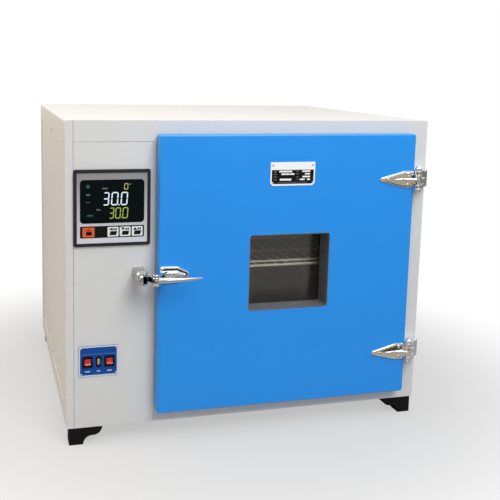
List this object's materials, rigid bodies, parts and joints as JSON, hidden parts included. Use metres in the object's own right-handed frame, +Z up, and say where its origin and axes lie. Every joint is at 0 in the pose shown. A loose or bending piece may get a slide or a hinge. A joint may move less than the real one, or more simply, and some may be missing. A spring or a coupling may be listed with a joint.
{
  "type": "forced-air drying oven",
  "caption": "Bench drying oven with a side control column, a windowed door on strap hinges, a lever latch, wire shelves and a side-mounted circulation fan.",
  "frame": {"origin": "centre of the whole box, on the plane of the feet's undersides", "axes": "+Z up, -Y towards the user in front of the door, +X towards the door's hinges"},
  "size_m": [0.74, 0.7585, 0.628],
  "materials": {
    "grey_paint": "light grey powder coat on sheet steel",
    "blue_paint": "satin blue powder coat on sheet steel",
    "plate_blue": "deeper blue enamel on the switch plate, with a pale border line",
    "frame_grey": "dark grey paint inside the window opening",
    "stainless": "brushed stainless sheet and wire",
    "chrome": "polished chrome-plated casting",
    "screw_steel": "plated screws and pins",
    "heater_metal": "heat-darkened sheath",
    "aluminium": "cast and extruded aluminium",
    "motor_black": "black enamel",
    "black_plastic": "black moulded plastic",
    "dark_plastic": "dark grey moulded rim",
    "silver_plastic": "silver-grey printed face",
    "display": "black display window",
    "key_pale": "pale key",
    "key_orange": "orange key",
    "switch_red": "red translucent rocker",
    "lamp_lens": "amber lamp lens",
    "foot_black": "black moulded foot",
    "wool": "mineral wool slab",
    "silicone": "silicone seal",
    "black_rubber": "black rubber",
    "glass": "clear tempered glass",
    "plate_metal": "blank plate, white band over a dark field"
  },
  "bodies": {
    "cabinet": {"outer_casing": "grey_paint", "side_cover": "grey_paint", "front_frame": "grey_paint", "control_panel": "grey_paint", "base_pan": "grey_paint", "back_panel": "grey_paint", "partition": "grey_paint", "chamber_insulation": "wool", "chamber_liner": "stainless", "duct_baffle": "stainless", "runner_left": "stainless", "runner_right": "stainless", "upper_shelf": "stainless", "lower_shelf": "stainless", "heater": "heater_metal", "temperature_probe": "stainless", "fan_motor": "motor_black", "motor_bracket": "grey_paint", "front_feet": "foot_black", "rear_feet": "foot_black", "controller_bezel": "dark_plastic", "controller_face": "silver_plastic", "controller_housing": "black_plastic", "display_window": "display", "key_strip": "black_plastic", "switch_plate": "plate_blue", "switch_bodies": "black_plastic", "indicator_lamp": "lamp_lens", "latch_keeper": "chrome", "cabinet_screws": "screw_steel", "upper_cabinet_leaf": "chrome", "lower_cabinet_leaf": "chrome", "hinge_pins": "chrome", "exhaust_port": "stainless", "cable_gland": "black_plastic", "relay_unit": "aluminium"},
    "door": {"door_skin": "blue_paint", "door_inner_panel": "stainless", "door_insulation": "wool", "door_gasket": "silicone", "window_frame": "frame_grey", "outer_pane": "glass", "pane_seal": "black_rubber", "inner_pane": "glass", "nameplate": "plate_metal", "upper_door_leaf": "chrome", "lower_door_leaf": "chrome", "latch_base": "chrome", "latch_pin": "chrome", "door_screws": "screw_steel"},
    "latch_lever": {"latch_lever": "chrome"},
    "left_rocker": {"left_rocker": "switch_red"},
    "right_rocker": {"right_rocker": "switch_red"},
    "power_key": {"power_key": "key_orange"},
    "set_key": {"set_key": "key_pale"},
    "shift_key": {"shift_key": "key_pale"},
    "adjust_key": {"adjust_key": "key_pale"},
    "fan": {"fan_shaft": "screw_steel", "fan_impeller": "aluminium"},
    "damper": {"exhaust_damper": "screw_steel"}
  },
  "joints": [
    {"name": "door_swing", "type": "hinge", "parent": "cabinet", "child": "door", "pos_m": [0.333, -0.33875, 0.338], "axis": [0, 0, 1], "range_deg": [0, 115]},
    {"name": "latch_turn", "type": "hinge", "parent": "door", "child": "latch_lever", "pos_m": [-0.2115, -0.36675, 0.338], "axis": [0, 0, -1], "range_deg": [-10, 45]},
    {"name": "left_rocker_tilt", "type": "hinge", "parent": "cabinet", "child": "left_rocker", "pos_m": [-0.3295, -0.30175, 0.166], "axis": [1, 0, 0], "range_deg": [0, 20]},
    {"name": "right_rocker_tilt", "type": "hinge", "parent": "cabinet", "child": "right_rocker", "pos_m": [-0.2875, -0.30175, 0.166], "axis": [1, 0, 0], "range_deg": [0, 20]},
    {"name": "power_key_press", "type": "slide", "parent": "cabinet", "child": "power_key", "axis": [0, 1, 0], "range_m": [0, 0.0008], "stiffness_N_per_m": 600},
    {"name": "set_key_press", "type": "slide", "parent": "cabinet", "child": "set_key", "axis": [0, 1, 0], "range_m": [0, 0.0008], "stiffness_N_per_m": 600},
    {"name": "shift_key_press", "type": "slide", "parent": "cabinet", "child": "shift_key", "axis": [0, 1, 0], "range_m": [0, 0.0008], "stiffness_N_per_m": 600},
    {"name": "adjust_key_press", "type": "slide", "parent": "cabinet", "child": "adjust_key", "axis": [0, 1, 0], "range_m": [0, 0.0008], "stiffness_N_per_m": 600},
    {"name": "fan_spin", "type": "hinge", "parent": "cabinet", "child": "fan", "pos_m": [-0.1405, -0.05075, 0.332], "axis": [1, 0, 0], "continuous": true},
    {"name": "damper_turn", "type": "hinge", "parent": "cabinet", "child": "damper", "pos_m": [0.065, 0.35325, 0.497], "axis": [1, 0, 0], "range_deg": [0, 90]}
  ]
}
